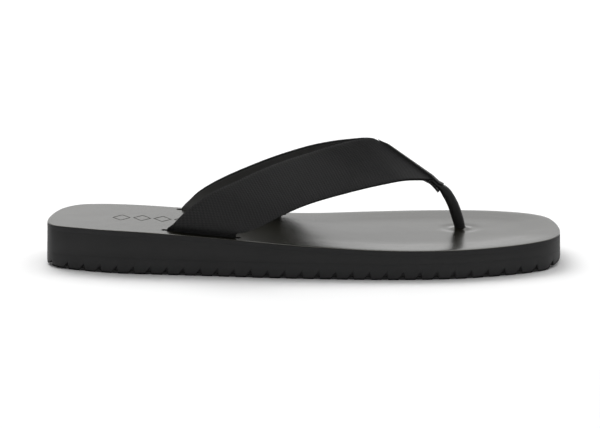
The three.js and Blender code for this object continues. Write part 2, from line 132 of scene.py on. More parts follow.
# Rings of raised or sunk leather round the post: (height, radius, spread).
PUCKER = [(0.55, POST_HOLE_RADIUS, 1.6), (-0.25, 8, 3.2)]
CUT_LOW, CUT_HIGH = 5, 40  # reach of a cutter that goes right through the leather
# Ridge binding: where it starts and its span along the ridge, its least and greatest thickness, its
# half width on each strap at the top, and how much wider it is at the tip.
BINDING_START, BINDING_SPAN = 0.004, 0.956
BINDING_THIN, BINDING_THICK, BINDING_SWELL = 0.35, 1.3, 0.16
BINDING_HALF, BINDING_FLARE = 1.5, 0.5
CONTACT = 0.03  # pieces that lie on each other are this far apart
# Tongue of the ridge binding down the front of the post: post ring, thickness, half angle.
TONGUE = [(16, 0.75, 48), (20, 0.6, 44), (24, 0.45, 40)]
# Tab under the tip of the V: lower face x and z in the ridge plane, thickness, half width.
BACKING = [
    (66.5, 42.9, 0.9, 1.2), (68.5, 42, 1.35, 1.6), (71.2, 40.6, 1.5, 2.1), (73.35, 38.5, 1.25, 2.6),
    (74.7, 36.9, 1.3, 2.8), (75.5, 35.9, 1.4, 2.8),
]


# ---- Curves ----
def catmull(points, closed=False, steps=40):
    """Centripetal Catmull-Rom curve through the points, as a dense polyline."""
    pts = [Vector(p) for p in points]
    if closed:
        pts = [pts[-1]] + pts + pts[:2]
    else:
        pts = [pts[0] * 2 - pts[1]] + pts + [pts[-1] * 2 - pts[-2]]
    out = []
    for p0, p1, p2, p3 in zip(pts, pts[1:], pts[2:], pts[3:]):
        d0 = max((p1 - p0).length ** 0.5, 1e-4)
        d1 = max((p2 - p1).length ** 0.5, 1e-4)
        d2 = max((p3 - p2).length ** 0.5, 1e-4)
        t1 = ((p1 - p0) / d0 - (p2 - p0) / (d0 + d1) + (p2 - p1) / d1) * d1
        t2 = ((p2 - p1) / d1 - (p3 - p1) / (d1 + d2) + (p3 - p2) / d2) * d1
        for i in range(steps):
            t = i / steps
            out.append(
                p1 * (2 * t**3 - 3 * t**2 + 1) + t1 * (t**3 - 2 * t**2 + t)
                + p2 * (-2 * t**3 + 3 * t**2) + t2 * (t**3 - t**2)
            )
    if not closed:
        out.append(pts[-2].copy())
    return out


class Path:
    """A polyline read by the share of its length."""

    def __init__(self, points):
        self.points = points
        self.marks = [0.0]
        for a, b in zip(points, points[1:]):
            self.marks.append(self.marks[-1] + (b - a).length)
        self.length = self.marks[-1]

    def at(self, share):
        d = share * self.length
        lo, hi = 0, len(self.marks) - 1
        while hi - lo > 1:
            mid = (lo + hi) // 2
            if self.marks[mid] <= d:
                lo = mid
            else:
                hi = mid
        span = self.marks[hi] - self.marks[lo]
        return self.points[lo].lerp(self.points[hi], (d - self.marks[lo]) / span)


def interpolate(table, x):
    for (x0, y0), (x1, y1) in zip(table, table[1:]):
        if x <= x1:
            return y0 + (y1 - y0) * (x - x0) / (x1 - x0)
    return table[-1][1]


FOOTBED_CURVE = [(p.x, p.y) for p in catmull(FOOTBED, steps=12)]
DISH_CURVE = [(p.x, p.y) for p in catmull(DISH + [(60, 0.72)], steps=12)]


def footbed_z(x):
    return interpolate(FOOTBED_CURVE, x)


def smoothstep(a, b, x):
    """0 below a, 1 above b, and an even S between."""
    t = min(max((x - a) / (b - a), 0), 1)
    return t * t * (3 - 2 * t)


# ---- Meshes ----
def make_object(name, verts, faces, sharp_degrees=35, uvs=None, looks=None):
    mesh = bpy.data.meshes.new(name)
    mesh.from_pydata([Vector(v) * MM for v in verts], [], faces)
    for face, look in zip(mesh.polygons, looks or []):
        face.material_index = look
    if uvs:
        layer = mesh.uv_layers.new(name="UVMap")
        for loop in mesh.loops:
            layer.data[loop.index].uv = uvs[loop.vertex_index]
    finish_mesh(mesh, sharp_degrees)
    obj = bpy.data.objects.new(name, mesh)
    bpy.context.scene.collection.objects.link(obj)
    return obj


def finish_mesh(mesh, sharp_degrees):
    """Merges stray points, turns the normals outwards and keeps edges over the angle sharp."""
    bm = bmesh.new()
    bm.from_mesh(mesh)
    bmesh.ops.remove_doubles(bm, verts=bm.verts, dist=2e-6)
    bmesh.ops.dissolve_degenerate(bm, edges=bm.edges, dist=1e-6)
    bmesh.ops.recalc_face_normals(bm, faces=bm.faces)
    bm.to_mesh(mesh)
    bm.free()
    mesh.shade_smooth()
    mesh.set_sharp_from_angle(angle=math.radians(sharp_degrees))


def loft(name, loops, sharp_degrees=35, caps=False):
    """A skin over closed loops of equal length; without caps, the end loops collapse to a line or meet."""
    n = len(loops[0])
    verts = [p for loop in loops for p in loop]
    faces = []
    for k in range(len(loops) - 1):
        for i in range(n):
            a = k * n + i
            b = k * n + (i + 1) % n
            faces.append((a, b, b + n, a + n))
    if caps:
        last = (len(loops) - 1) * n
        faces.append(tuple(range(n)))
        faces.append(tuple(last + i for i in reversed(range(n))))
    return make_object(name, verts, faces, sharp_degrees)


def cut(obj, cutters, sharp_degrees=35):
    """Takes the cutters out of obj and removes them."""
    for cutter in cutters:
        modifier = obj.modifiers.new("cut", "BOOLEAN")
        modifier.operation = "DIFFERENCE"
        modifier.solver = "EXACT"
        modifier.object = cutter
    graph = bpy.context.evaluated_depsgraph_get()
    mesh = bpy.data.meshes.new_from_object(obj.evaluated_get(graph))
    old = obj.data
    obj.modifiers.clear()
    obj.data = mesh
    mesh.materials.clear()
    bpy.data.meshes.remove(old)
    for cutter in cutters:
        bpy.data.objects.remove(cutter)
    finish_mesh(mesh, sharp_degrees)


# ---- Sole ----
OUTLINE_CURVE = catmull([(x, y, 0) for x, y in OUTLINE], closed=True, steps=60)
HEEL_INDEX = min(range(len(OUTLINE_CURVE)), key=lambda i: OUTLINE_CURVE[i].x)
TOE_INDEX = max(range(len(OUTLINE_CURVE)), key=lambda i: OUTLINE_CURVE[i].x)


def branch(step):
    """Points of one side from heel to toe, each with its inward normal."""
    n = len(OUTLINE_CURVE)
    side = []
    for k in range((TOE_INDEX - HEEL_INDEX) * step % n + 1):
        i = (HEEL_INDEX + step * k) % n
        along = (OUTLINE_CURVE[(i + 1) % n] - OUTLINE_CURVE[i - 1]).normalized()
        side.append((OUTLINE_CURVE[i], Vector((-along.y, along.x, 0))))
    return side


SIDES = (branch(1), branch(-1))  # outer, inner


def outline_tree():
    tree = KDTree(len(OUTLINE_CURVE))
    for index, point in enumerate(OUTLINE_CURVE):
        tree.insert(point, index)
    tree.balance()
    return tree


RIM_TREE = outline_tree()


def rim_distance(x, y):
    return RIM_TREE.find((x, y, 0))[2]


def dish(x, y):
    """How far the footbed lies below its rim."""
    return interpolate(DISH_CURVE, rim_distance(x, y)) * smoothstep(DISH_FROM, DISH_FULL, x)


def on_side(side, x):
    """The point of a side at x, and its inward normal."""
    lo, hi = 0, len(side) - 1
    while hi - lo > 1:
        mid = (lo + hi) // 2
        if side[mid][0].x <= x:
            lo = mid
        else:
            hi = mid
    (p0, n0), (p1, n1) = side[lo], side[hi]
    t = min(max((x - p0.x) / max(p1.x - p0.x, 1e-9), 0), 1)
    return p0.lerp(p1, t), n0.lerp(n1, t).normalized()


HEEL_X = OUTLINE_CURVE[HEEL_INDEX].x
TOE_X = OUTLINE_CURVE[TOE_INDEX].x


def column_xs(count, extra=()):
    """Places along the sole, denser towards both ends, with the extra ones kept exactly."""
    middle = (HEEL_X + TOE_X) / 2
    half = (TOE_X - HEEL_X) / 2
    xs = [middle - half * math.cos(math.pi * k / count) for k in range(count + 1)]
    if extra:
        xs = [x for x in xs if all(abs(x - e) > 0.3 for e in extra)] + list(extra)
        xs = [x for x in sorted(xs) if HEEL_X <= x <= TOE_X]
    return xs


def wall_point(side, x, inset, z):
    """A point of the sole at x, an inset in from the wall, which spreads a little towards the floor."""
    p, inward = on_side(side, x)
    spread = WALL_SPREAD * (WALL_HIGH - z) / (WALL_HIGH - WALL_LOW)
    return p + inward * (inset - spread) + Vector((0, 0, z))


def section(x, rings):
    """One closed loop round the sole at x: rings are (inset, z) pairs from the lowest to the highest."""
    lateral, medial = [[wall_point(side, x, inset, z) for inset, z in rings] for side in SIDES]
    return lateral + medial[::-1]


def sole_rise(x):
    """Height of the sole's underside over the floor."""
    return max(0.0, (HEEL_BEVEL[0] - x) * HEEL_BEVEL[1], (x - TOE_BEVEL[0]) * TOE_BEVEL[1])


def tread_profile():
    """Underside of the outsole from heel to toe: slanted notches with softened corners."""
    points = []
    for i in range(TREAD_COUNT):
        x = TREAD_FIRST + i * TREAD_PITCH
        points += [
            (x - 0.45, 0), (x - 0.12, 0.05), (x + 0.2, 0.3), (x + 1.1, 1.4), (x + 2, 2.5),
            (x + TREAD_APEX - 0.3, TREAD_DEPTH - 0.2), (x + TREAD_APEX, TREAD_DEPTH),
            (x + TREAD_APEX + 0.22, TREAD_DEPTH - 0.3), (x + TREAD_WIDTH - 0.12, 0.7),
            (x + TREAD_WIDTH, 0.28), (x + TREAD_WIDTH + 0.16, 0.06), (x + TREAD_WIDTH + 0.45, 0),
        ]
    return [(-160, 0)] + points + [(160, 0)]


def groove_band(x, low):
    band = min(low, sole_rise(x) + BAND_HEIGHT) if abs(x) < BAND_END else low
    return [
        (BAND_INNER + 0.6, low), (BAND_INNER, band), (LIP_FOOT, band),
        (LIP_INSET, min(low, band + LIP_HEIGHT)), (BAND_OUTER, min(low, band + LIP_HEIGHT + 0.2)),
        (BAND_OUTER - 0.05, low),
    ]


def soft_wall(low, top):
    """The outer wall, from its rounded lower edge to the seam with the midsole."""
    rounding = [(1, 0), (0.6, 0.08), (0.28, 0.3), (0.07, 0.64), (0, 1)]
    rings = [(WALL_SOFT * inset, low + WALL_SOFT * rise) for inset, rise in rounding]
    return rings + [(0, top - CHAMFER), (CHAMFER / 2, top)]


def build_outsole():
    profile = tread_profile()
    loops = []
    for x in column_xs(SOLE_COLUMNS, [x for x, _ in profile[1:-1]]):
        low = max(interpolate(profile, x), sole_rise(x))
        loops.append(section(x, groove_band(x, low) + soft_wall(low, OUTSOLE_TOP + SEAM)))
    return loft("outsole_tread", loops, 38)


def build_midsole():
    loops = []
    for x in column_xs(SOLE_COLUMNS):
        low = OUTSOLE_TOP + GAP - SEAM
        top = footbed_z(x) - WRAP_DEPTH - (GAP - 2 * SEAM)
        loops.append(section(x, [
            (CHAMFER, low), (CHAMFER / 2, low + CHAMFER), (CHAMFER / 2, top - CHAMFER), (CHAMFER, top),
        ]))
    block = loft("midsole_block", loops, 38)
    recess = []
    for x in column_xs(RECESS_COLUMNS):
        low = footbed_z(x) - BOARD_BOTTOM - GAP
        recess.append(section(x, [(BOARD_INSET - GAP, low), (BOARD_INSET - GAP, RECESS_HIGH)]))
    anchor_seat = disc_cutter(ANCHOR_RADIUS + GAP, ANCHOR_BOTTOM - GAP, RECESS_HIGH)
    cut(block, [loft("cutter", recess), anchor_seat], 38)
    return block


def post_pucker(x, y):
    """The leather is drawn up in a soft ring round the post."""
    r = math.hypot(x - POST_X, y - RIDGE_Y)
    return sum(height * math.exp(-(((r - radius) / spread) ** 2)) for height, radius, spread in PUCKER)


def surface_z(x, y):
    return footbed_z(x) - dish(x, y) + post_pucker(x, y)


def slit_cutter(strap):
    a, b = [Vector((p[0], p[1], 0)) for p in (strap["back"][0], strap["front"][0])]
    along = (b - a).normalized()
    inward = Vector((-along.y, along.x, 0)) * -strap["out"]
    middle = (WEBBING + GAP + LINING) / 2 * inward
    reach = along * (SLIT_OVERRUN - SLIT_ROUNDING)
    loop = []
    for centre, turn in ((b + reach + middle, 1), (a - reach + middle, -1)):
        for k in range(9):
            t = math.pi * k / 8
            side = inward * math.cos(t) * SLIT_WIDTH / 2
            loop.append(centre + (along * math.sin(t) * SLIT_ROUNDING + side) * turn)
    return upright_cutter(loop, CUT_LOW, CUT_HIGH)


def disc_cutter(radius, low, high):
    """A disc round the post."""
    turns = [k * math.pi / 24 for k in range(48)]
    ring = [Vector((POST_X + radius * math.cos(t), RIDGE_Y + radius * math.sin(t), 0)) for t in turns]
    return upright_cutter(ring, low, high)


def upright_cutter(loop, low, high):
    return loft("cutter", [[p + Vector((0, 0, z)) for p in loop] for z in (low, high)], caps=True)


def diamond_groove_cutter(x):
    """A thin tube laid along a diamond on the footbed."""
    plan = []
    for k in range(48):
        a = 2 * math.pi * k / 48
        reach = 1 / (abs(math.cos(a) / DIAMOND_HALF[0]) + abs(math.sin(a) / DIAMOND_HALF[1]))
        plan.append(Vector((x + reach * math.cos(a), DIAMOND_Y + reach * math.sin(a), 0)))
    loops = []
    for k, centre in enumerate(plan):
        run = (plan[(k + 1) % 48] - plan[k - 1]).normalized()
        aside = Vector((run.y, -run.x, 0))
        centre = centre + Vector((0, 0, footbed_z(centre.x) + 0.1))
        loops.append([
            centre + aside * GROOVE_RADIUS * math.cos(t) + Vector((0, 0, GROOVE_RADIUS * math.sin(t)))
            for t in (2 * math.pi * j / 10 for j in range(10))
        ])
    return loft("cutter", loops + [loops[0]])


def leather_rim(top):
    """(inset, z) pairs up the turned-down edge and over its rounding."""
    turns = [math.radians(d) for d in (22, 45, 62, 78, 90)]
    rounding = [(RIM_RADIUS * (1 - math.cos(a)), top - RIM_RADIUS * (1 - math.sin(a))) for a in turns]
    foot = [(CHAMFER / 2, top - WRAP_DEPTH), (0, top - WRAP_DEPTH + CHAMFER), (0, top - RIM_RADIUS)]
    return foot + rounding


def footbed_run(start, end, depth):
    """Points from rim to rim, a depth below the surface of the footbed."""
    points = []
    for j in range(1, ACROSS_FOOTBED):
        q = start.lerp(end, j / ACROSS_FOOTBED)
        points.append(Vector((q.x, q.y, surface_z(q.x, q.y) - depth)))
    return points


def leather_section(x):
    top = footbed_z(x)
    rim = leather_rim(top)
    lining = [(LEATHER, top - WRAP_DEPTH), (LEATHER, top - LEATHER)]
    outer_lateral, outer_medial = [[wall_point(side, x, *ring) for ring in rim] for side in SIDES]
    inner_lateral, inner_medial = [[wall_point(side, x, *ring) for ring in lining] for side in SIDES]
    upper = footbed_run(outer_lateral[-1], outer_medial[-1], 0)
    lower = footbed_run(inner_medial[-1], inner_lateral[-1], LEATHER)
    return outer_lateral + upper + outer_medial[::-1] + inner_medial + lower + inner_lateral[::-1]


def build_footbed_leather():
    xs = column_xs(SOLE_COLUMNS, [POST_X + 0.75 * k for k in range(-16, 17)])
    leather = loft("footbed_skin", [leather_section(x) for x in xs], 40)
    cutters = [slit_cutter(strap) for strap in (LATERAL, MEDIAL)]
    cutters.append(disc_cutter(POST_HOLE_RADIUS - 0.15, CUT_LOW, CUT_HIGH))
    cutters += [diamond_groove_cutter(DIAMOND_FIRST + DIAMOND_PITCH * k) for k in range(DIAMOND_COUNT)]
    cut(leather, cutters, 40)
    mark_leather_edge(leather)
    return leather


def mark_leather_edge(leather):
    """The turned-down edge of the leather takes the second material."""
    for face in leather.data.polygons:
        centre = face.center / MM
        at_rim = rim_distance(centre.x, centre.y) < 1
        face.material_index = int(at_rim and centre.z < footbed_z(centre.x) - 0.3)


# ---- Straps ----
class Strap:
    """The outer face of a strap, ruled between its back and front edges."""

    def __init__(self, data):
        self.out = data["out"]
        self.back = self.edge(data["back"])
        self.front = self.edge(data["front"])

    def edge(self, points):
        """An edge that starts inside the slit and comes out of the footbed upright."""
        x, y = points[0]
        top = footbed_z(x)
        curve = catmull([(x, y, top + 0.2)] + list(points[1:]))
        return Path([Vector((x, y, top - 4))] + curve)

    def at(self, u, v):
        return self.back.at(u).lerp(self.front.at(u), v)

    def normal(self, u, v):
        along = self.at(min(u + 0.004, 1), v) - self.at(max(u - 0.004, 0), v)
        across = self.front.at(u) - self.back.at(u)
        return along.cross(across).normalized() * self.out

    def offset(self, u, v, distance):
        u = min(max(u, 0), 1)
        return self.at(u, v) + self.normal(u, v) * distance


STRAPS = {"lateral": Strap(LATERAL), "medial": Strap(MEDIAL)}


def webbing_rows(count):
    """Rows along the ribs, each with its phase and its (u, v) places, trimmed at the slit and the ridge."""
    rows = []
    for i in range(count + 1):
        phase = (1 - ROW_SLANT) * i / count
        start = max(0, (1 - phase) / ROW_SLANT)
        stop = min(1, -phase / ROW_SLANT)
        if stop - start < SHORTEST_ROW:
            continue
        places = [start + (stop - start) * j / ACROSS_WEBBING for j in range(ACROSS_WEBBING + 1)]
        rows.append((phase, [(phase + ROW_SLANT * v, v) for v in places]))
    return rows


def lining_rows():
    places = [LINING_START + LINING_SHARE * j / ACROSS_LINING for j in range(ACROSS_LINING + 1)]
    rows = []
    for i in range(LINING_ROWS + 1):
        u = 0.01 + 0.99 * i / LINING_ROWS
        rows.append((u, [(u, v) for v in places]))
    return rows


def trim_at_ridge(mesh, side):
    """Cuts the strap off square at its side of the ridge and closes the cut."""
    bm = bmesh.new()
    bm.from_mesh(mesh)
    plane = (RIDGE_Y + side * GAP / 2) * MM
    halves = bmesh.ops.bisect_plane(
        bm, geom=bm.verts[:] + bm.edges[:] + bm.faces[:], plane_co=(0, plane, 0),
        plane_no=(0, -side, 0), clear_outer=True,
    )
    rim = [e for e in halves["geom_cut"] if isinstance(e, bmesh.types.BMEdge)]
    bmesh.ops.holes_fill(bm, edges=rim)
    bm.to_mesh(mesh)
    bm.free()


def strap_faces(count, n):
    """Faces of a closed layer with count rows of n points, and the material slot of each; the edge faces
    take slot 1, which carries painted shade.
    """
    size = count * n
    faces, looks = [], []
    for i in range(count - 1):
        for a in range(i * n, i * n + n - 1):
            b = a + size
            faces += [(a, a + 1, a + n + 1, a + n), (b, b + n, b + n + 1, b + 1)]
            looks += [0, 0]
        for a in (i * n, i * n + n - 1):
            faces.append((a, a + n, a + n + size, a + size))
            looks.append(1)
    for i in (0, count - 1):
        for a in range(i * n, i * n + n - 1):
            faces.append((a, a + size, a + size + 1, a + 1))
            looks.append(0)
    return faces, looks


def strap_skin(name, strap, rows, outer, inner, relief=None, uv_scale=(1, 1)):
    """A closed strap layer between two offsets; relief(phase, v) lifts its outer face."""
    verts, uvs = [], []
    for offset, lift in ((outer, relief), (inner, None)):
        for phase, row in rows:
            for u, v in row:
                verts.append(strap.offset(u, v, offset + (lift(phase, v) if lift else 0)))
                uvs.append((phase * uv_scale[0], v * uv_scale[1]))
    faces, looks = strap_faces(len(rows), len(rows[0][1]))
    obj = make_object(name, verts, faces, 50, uvs, looks)
    trim_at_ridge(obj.data, strap.out)
    finish_mesh(obj.data, 50)
    return obj


def build_webbing(side):
    strap = STRAPS[side]
    ribs = round(strap.back.length * (1 - ROW_SLANT) / RIB_PITCH)
    ribs_per_phase = ribs / (1 - ROW_SLANT)

    def relief(phase, v):
        u = phase + ROW_SLANT * v
        wave = abs(math.sin(math.pi * phase * ribs_per_phase)) ** RIB_FULLNESS
        fade = 1 - RIB_LOSS * smoothstep(*RIB_FADE, u + FADE_LEAN * v)
        edge = smoothstep(0, EDGE_SHARE, v) * smoothstep(0, EDGE_SHARE, 1 - v)
        tuck = 1 - smoothstep(*TUCK, u)
        return RIB_HEIGHT * (wave - 1) * fade - EDGE_DROP * (1 - edge) - TUCK_DEPTH * tuck

    rows = webbing_rows(ribs * ROWS_PER_RIB)
    return strap_skin("webbing_" + side, strap, rows, 0, -WEBBING, relief, (ribs_per_phase, 60))


def build_lining(side):
    top, bottom = -WEBBING - CONTACT, -WEBBING - GAP - LINING
    return strap_skin("lining_" + side, STRAPS[side], lining_rows(), top, bottom, None, (100, 30))


# ---- Ridge and post ----
def in_plane(x, z):
    return Vector((x, RIDGE_Y, z))


POST_AXIS = catmull([in_plane(x, z) for x, z, _, _ in POST], steps=8)
POST_SIZE = catmull([(across, deep, 0) for _, _, across, deep in POST], steps=8)


def post_frame(k):
    a = POST_AXIS[max(k - 1, 0)]
    b = POST_AXIS[min(k + 1, len(POST_AXIS) - 1)]
    run = (b - a).normalized()
    return POST_AXIS[k], Vector((-run.z, 0, run.x)), POST_SIZE[k]


def post_ring(k, extra, degrees):
    """Part of a ring round the post, grown by extra; 90 degrees is its front."""
    centre, out, size = post_frame(k)
    ring = []
    for d in degrees:
        a = math.radians(d)
        aside = Vector((0, 1, 0)) * (size.x + extra) * math.cos(a)
        ring.append(centre + aside + out * (size.y + extra) * math.sin(a))
    return ring


def build_post():
    full = [360 * i / 40 for i in range(40)]
    return loft("toe_post_skin", [post_ring(k, 0, full) for k in range(len(POST_AXIS))], 40, caps=True)


def overlay_face(v, half, distance):
    """A line over the ridge at v, half wide on each strap, a distance above them."""
    lateral, medial = STRAPS["lateral"], STRAPS["medial"]
    shares = (1, 0.75, 0.5, 0.25)
    outer = [lateral.offset(1 - half * k / lateral.back.length, v, distance) for k in shares]
    inner = [medial.offset(1 - half * k / medial.back.length, v, distance) for k in reversed(shares)]
    nl, nm = lateral.normal(1, v), medial.normal(1, v)
    bisector = (nl + nm).normalized()
    crest = lateral.at(1, v) + bisector * distance / bisector.dot(nl)
    crest = crest * 0.6 + (outer[-1] + inner[0]) * 0.2
    return outer + [crest] + inner


def build_overlay():
    loops = []
    for j in range(29):
        v = BINDING_START + BINDING_SPAN * j / 28
        half = BINDING_HALF + BINDING_FLARE * v
        thick = BINDING_THIN + (BINDING_THICK - BINDING_THIN) * smoothstep(0, BINDING_SWELL, v)
        upper = overlay_face(v, half * 0.9, CONTACT + thick)
        loops.append(overlay_face(v, half, CONTACT) + upper[::-1])
    for k, thick, spread in TONGUE:
        degrees = [90 + spread * (1 - i / 4) for i in range(9)]
        loops.append(post_ring(k, 0.1, degrees) + post_ring(k, GAP + thick, degrees)[::-1])
    return loft("ridge_binding", loops, 45, caps=True)


def build_backing():
    """The tab under the tip of the V, with rounded edges."""
    line = catmull([(x, RIDGE_Y, z) for x, z, _, _ in BACKING], steps=6)
    sizes = catmull([(thick, half, 0) for _, _, thick, half in BACKING], steps=6)
    profile = [
        (-1, 0.25), (-0.94, 0.06), (-0.8, 0), (0, 0), (0.8, 0), (0.94, 0.06), (1, 0.25),
        (1, 0.75), (0.94, 0.94), (0.8, 1), (0, 1), (-0.8, 1), (-0.94, 0.94), (-1, 0.75),
    ]
    loops = []
    for k, (low, size) in enumerate(zip(line, sizes)):
        run = (line[min(k + 1, len(line) - 1)] - line[max(k - 1, 0)]).normalized()
        out = Vector((-run.z, 0, run.x))
        loops.append([
            low + Vector((0, side * size.y, 0)) + out * rise * size.x for side, rise in profile
        ])
    return loft("junction_lining", loops, 50, caps=True)


# ---- Materials ----
def material(name, color, roughness, specular=0.5):
    m = bpy.data.materials.new(name)
    m.use_nodes = True
    shader = m.node_tree.nodes["Principled BSDF"]
    shader.inputs["Base Color"].default_value = (*color, 1)
    shader.inputs["Roughness"].default_value = roughness
    shader.inputs["Specular IOR Level"].default_value = specular
    return m, shader


def node(m, kind, **values):
    """A shader node; each value goes to the input of that name, or else to the setting."""
    n = m.node_tree.nodes.new(kind)
    for key, value in values.items():
        if key in n.inputs:
            n.inputs[key].default_value = value
        else:
            setattr(n, key, value)
    return n


def link(m, a, b):
    m.node_tree.links.new(a, b)


def object_coordinates(m):
    return node(m, "ShaderNodeTexCoord").outputs["Object"]


def noise(m, coordinates, scale, detail=3, roughness=0.5):
    n = node(m, "ShaderNodeTexNoise", Scale=scale, Detail=detail, Roughness=roughness)
    link(m, coordinates, n.inputs["Vector"])
    return n.outputs["Fac"]


def bump(m, shader, height, distance, strength=1.0, under=None):
    b = node(m, "ShaderNodeBump", Strength=strength, Distance=distance)
    link(m, height, b.inputs["Height"])
    if under:
        link(m, under.outputs["Normal"], b.inputs["Normal"])
    link(m, b.outputs["Normal"], shader.inputs["Normal"])
    return b


def vary(m, shader, socket, source, low, high):
    """Spreads a shader input between two values by a 0 to 1 pattern."""
    if socket == "Base Color":
        mix = node(m, "ShaderNodeMix", data_type="RGBA")
        mix.inputs[6].default_value = (*low, 1)
        mix.inputs[7].default_value = (*high, 1)
        link(m, source, mix.inputs[0])
        link(m, mix.outputs[2], shader.inputs[socket])
        return
    spread = node(m, "ShaderNodeMapRange")
    spread.inputs["To Min"].default_value = low
    spread.inputs["To Max"].default_value = high
    link(m, source, spread.inputs["Value"])
    link(m, spread.outputs["Result"], shader.inputs[socket])


def grey(level, blue=0):
    return (level, level, level + blue)


def leather_material():
    m, shader = material("footbed_leather_black", grey(0.012), 0.26)
    at = object_coordinates(m)
    pores = node(m, "ShaderNodeTexVoronoi", Scale=1500, feature="F1")
    link(m, at, pores.inputs["Vector"])
    soft = bump(m, shader, noise(m, at, 60, 2), 0.00012, 0.5)
    bump(m, shader, pores.outputs["Distance"], 0.00002, 0.35, soft)
    shader.inputs["Specular Tint"].default_value = (1, 0.985, 0.89, 1)
    vary(m, shader, "Roughness", noise(m, at, 35, 4), 0.19, 0.27)
    vary(m, shader, "Base Color", noise(m, at, 90, 5), (0.006, 0.0057, 0.0035), (0.01, 0.0096, 0.0062))
    return m


def rubber_material(name, low, high, scale, roughness):
    m, shader = material(name, low, roughness, 0.28)
    at = object_coordinates(m)
    bump(m, shader, noise(m, at, scale, 4, 0.6), 0.00006, 0.5)
    vary(m, shader, "Base Color", noise(m, at, 70, 5), low, high)
    vary(m, shader, "Roughness", noise(m, at, 45, 3), roughness - 0.07, roughness + 0.07)
    return m


def math_node(m, operation, first, second=None, third=None):
    """A Math node whose inputs are numbers or other nodes' outputs."""
    n = node(m, "ShaderNodeMath", operation=operation)
    for socket, value in zip(n.inputs, (first, second, third)):
        if isinstance(value, (int, float)):
            socket.default_value = value
        elif value:
            link(m, value, socket)
    return n.outputs[0]


def webbing_material():
    m, shader = material("strap_webbing_black", grey(0.02, 0.001), 0.85, 0.12)
    shader.inputs["Sheen Weight"].default_value = 0.03
    shader.inputs["Sheen Roughness"].default_value = 0.5
    uv = node(m, "ShaderNodeTexCoord").outputs["UV"]
    threads = node(m, "ShaderNodeTexWave", wave_type="BANDS", bands_direction="DIAGONAL", Scale=0.32)
    threads.inputs["Distortion"].default_value = 0.4
    link(m, uv, threads.inputs["Vector"])
    base = bump(m, shader, threads.outputs["Fac"], 0.00012, 0.5)
    bump(m, shader, noise(m, object_coordinates(m), 2600, 2), 0.00005, 0.4, base)
    split = node(m, "ShaderNodeSeparateXYZ")
    link(m, uv, split.inputs[0])
    # Painted shade: the base colour darkens in the grooves between ribs and towards the tip; the yarn bands
    # are the webbing's own pattern.
    shade = math_node(m, "MULTIPLY", rib_groove_shade(m, split.outputs["X"]), tip_painted_shade(m, split.outputs["X"]))
    yarn = math_node(m, "MULTIPLY_ADD", threads.outputs["Fac"], 0.7, 0.55)
    woven_and_painted_shade = math_node(m, "MULTIPLY", shade, yarn)
    vary(m, shader, "Base Color", woven_and_painted_shade, grey(0.005, 0.0002), grey(0.054, 0.0005))
    return m


def rib_groove_shade(m, along):
    """1 on the crown of each rib and 0 in the groove between two, where shade is painted into the webbing's
    colour.
    """
    turn = math_node(m, "MULTIPLY", along, math.pi)
    return math_node(m, "ABSOLUTE", math_node(m, "SINE", turn))


def tip_painted_shade(m, along):
    """Painted shade: darkens the ribs from the middle of the strap to its tip, against the sky light on its
    upturned end.
    """
    tip_shade = node(m, "ShaderNodeMapRange")
    for socket, value in (("From Min", 75), ("From Max", 122), ("To Min", 1), ("To Max", 0.58)):
        tip_shade.inputs[socket].default_value = value
    link(m, along, tip_shade.inputs["Value"])
    return tip_shade.outputs["Result"]


def cloth_material(name, low, high, roughness, specular, bump_scale, bump_depth, blotch_scale):
    """A matt piece with fine noise relief and slow changes of shade."""
    m, shader = material(name, low, roughness, specular)
    at = object_coordinates(m)
    bump(m, shader, noise(m, at, bump_scale, 3), bump_depth, 0.5)
    vary(m, shader, "Base Color", noise(m, at, blotch_scale, 4), low, high)
    return m


def trim_material():
    m, shader = material("trim_leather_black", grey(0.015), 0.52, 0.3)
    at = object_coordinates(m)
    grain = node(m, "ShaderNodeTexVoronoi", Scale=1300, feature="F1")
    link(m, at, grain.inputs["Vector"])
    soft = bump(m, shader, noise(m, at, 250, 3), 0.00015, 0.5)
    bump(m, shader, grain.outputs["Distance"], 0.00004, 0.5, soft)
    vary(m, shader, "Roughness", noise(m, at, 160, 3), 0.45, 0.6)
    vary(m, shader, "Base Color", noise(m, at, 140, 4), grey(0.01), grey(0.02))
    return m


def inner_material(name, low, high, scale, roughness):
    m, shader = material(name, low, roughness, 0.3)
    at = object_coordinates(m)
    bump(m, shader, noise(m, at, scale, 4), 0.0001, 0.5)
    vary(m, shader, "Base Color", noise(m, at, scale / 4, 4), low, high)
    return m


def dress(obj, *looks):
    for look in looks:
        obj.data.materials.append(look)


def dress_node(name, m):
    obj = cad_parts[name]
    for slot in obj.material_slots:
        slot.material = m


# ---- Stage ----
CAMERA_LENS, CAMERA_ELEVATION, CAMERA_DISTANCE = 160.3, 13, 1.5
CAMERA_AIM = Vector((-0.00197, -0.0071, 0.0265))


def build_floor():
    mesh = bpy.data.meshes.new("studio_floor")
    mesh.from_pydata([(-6, -6, 0), (6, -6, 0), (6, 9, 0), (-6, 9, 0)], [], [(0, 1, 2, 3)])
    floor = bpy.data.objects.new("studio_floor", mesh)
    floor.location.z = -0.2 * MM
    bpy.context.scene.collection.objects.link(floor)
    m, shader = material("pale_floor", grey(0.9), 0.9, 0.1)
    vary(m, shader, "Roughness", noise(m, object_coordinates(m), 3, 2), 0.85, 0.95)
    dress(floor, m)


